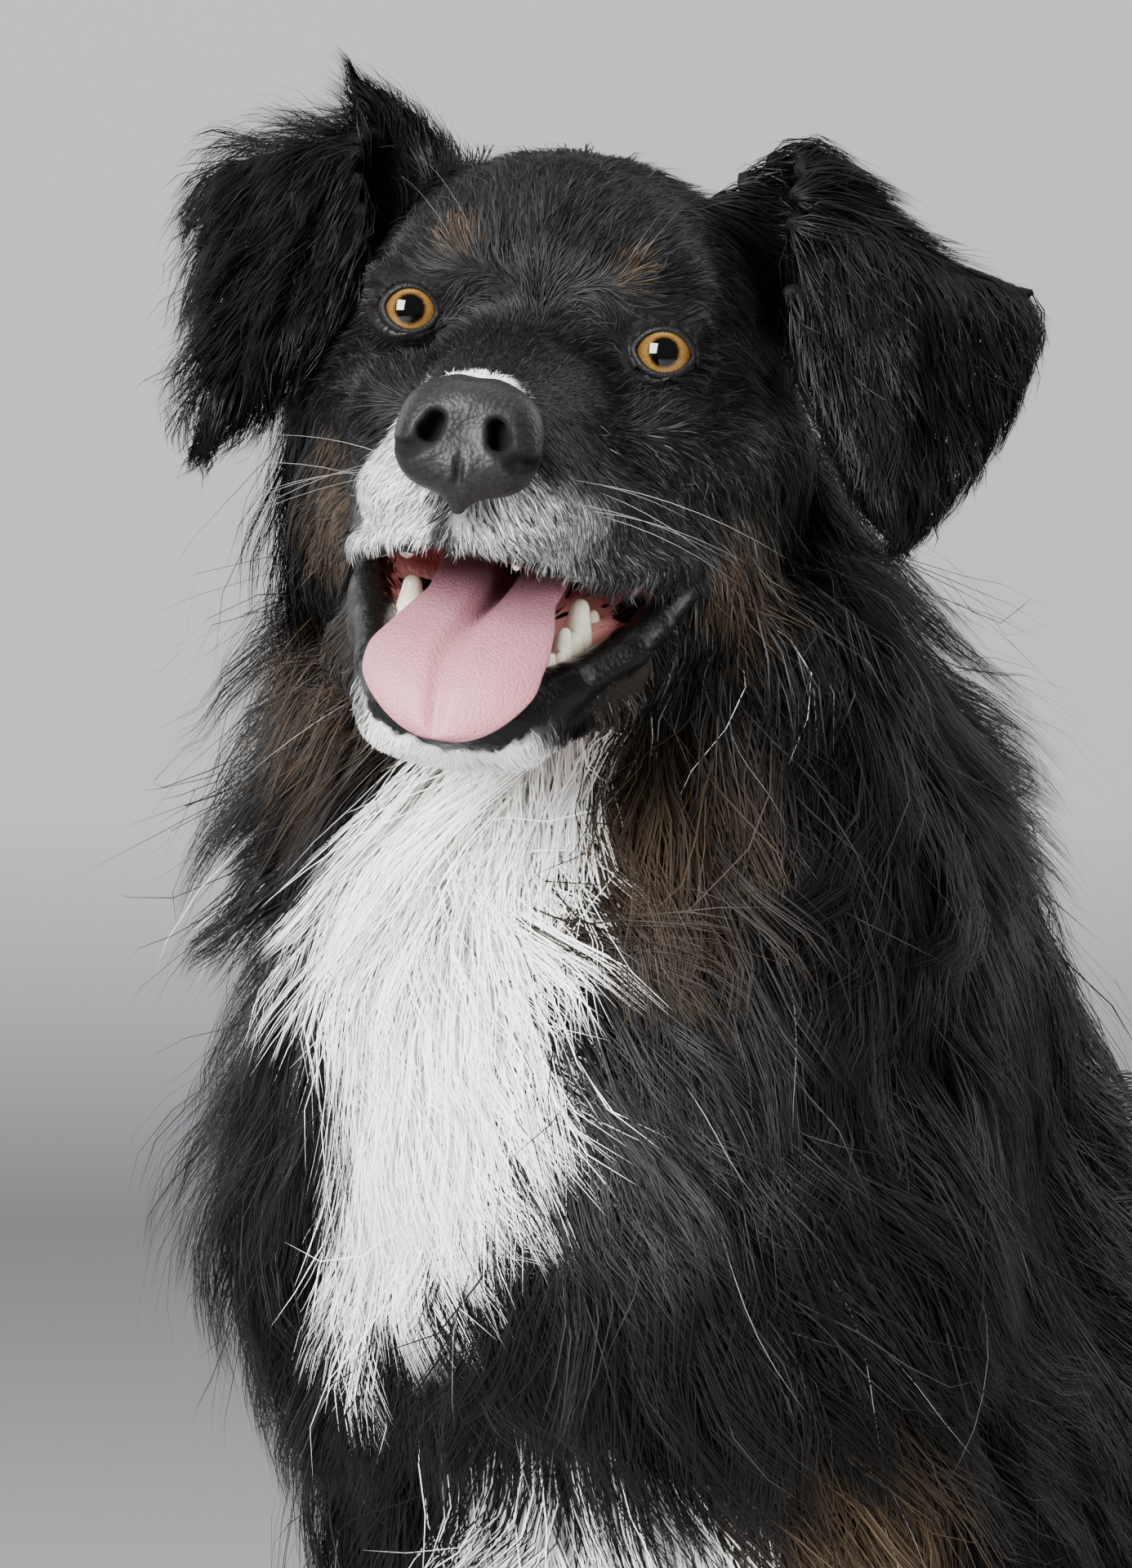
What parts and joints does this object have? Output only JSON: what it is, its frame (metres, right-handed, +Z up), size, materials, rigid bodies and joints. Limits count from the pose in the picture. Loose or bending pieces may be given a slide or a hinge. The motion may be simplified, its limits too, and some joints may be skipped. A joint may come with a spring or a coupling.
{
  "type": "sitting long-coated shepherd dog",
  "caption": "Life-size still model of a sitting long-coated shepherd dog, head turned, mouth open and tongue out, black, white and tan.",
  "frame": {"origin": "the point on the floor at the middle of the rump, where the dog sits", "axes": "+Z up, the dog's body faces -Y and its left side is +X"},
  "size_m": [0.4534, 0.6623, 0.7287],
  "materials": {
    "black_coat": "long soft black hair with a slight blue-grey sheen",
    "white_coat": "long soft white hair",
    "tan_coat": "short to medium tan hair",
    "nose_leather": "pebbled, moist dark grey skin",
    "eye": "wet, amber iris under a clear cornea",
    "lips_and_mouth": "moist black lips with pink cheeks inside",
    "tongue": "moist pink, velvety",
    "teeth": "cream enamel",
    "claw": "dark horn"
  },
  "bodies": {
    "root": {"head": "black_coat", "nose": "nose_leather", "eye_left": "eye", "eye_right": "eye", "ear_left": "black_coat", "ear_right": "black_coat", "jaw": "lips_and_mouth", "tongue": "tongue", "neck": "black_coat", "torso": "black_coat", "foreleg_left": "tan_coat", "foreleg_right": "tan_coat", "forepaw_left": "white_coat", "forepaw_right": "white_coat", "thigh_left": "black_coat", "thigh_right": "black_coat", "hindfoot_left": "white_coat", "hindfoot_right": "white_coat", "tail_base": "black_coat", "tail_middle": "black_coat", "tail_tip": "white_coat"}
  },
  "joints": []
}
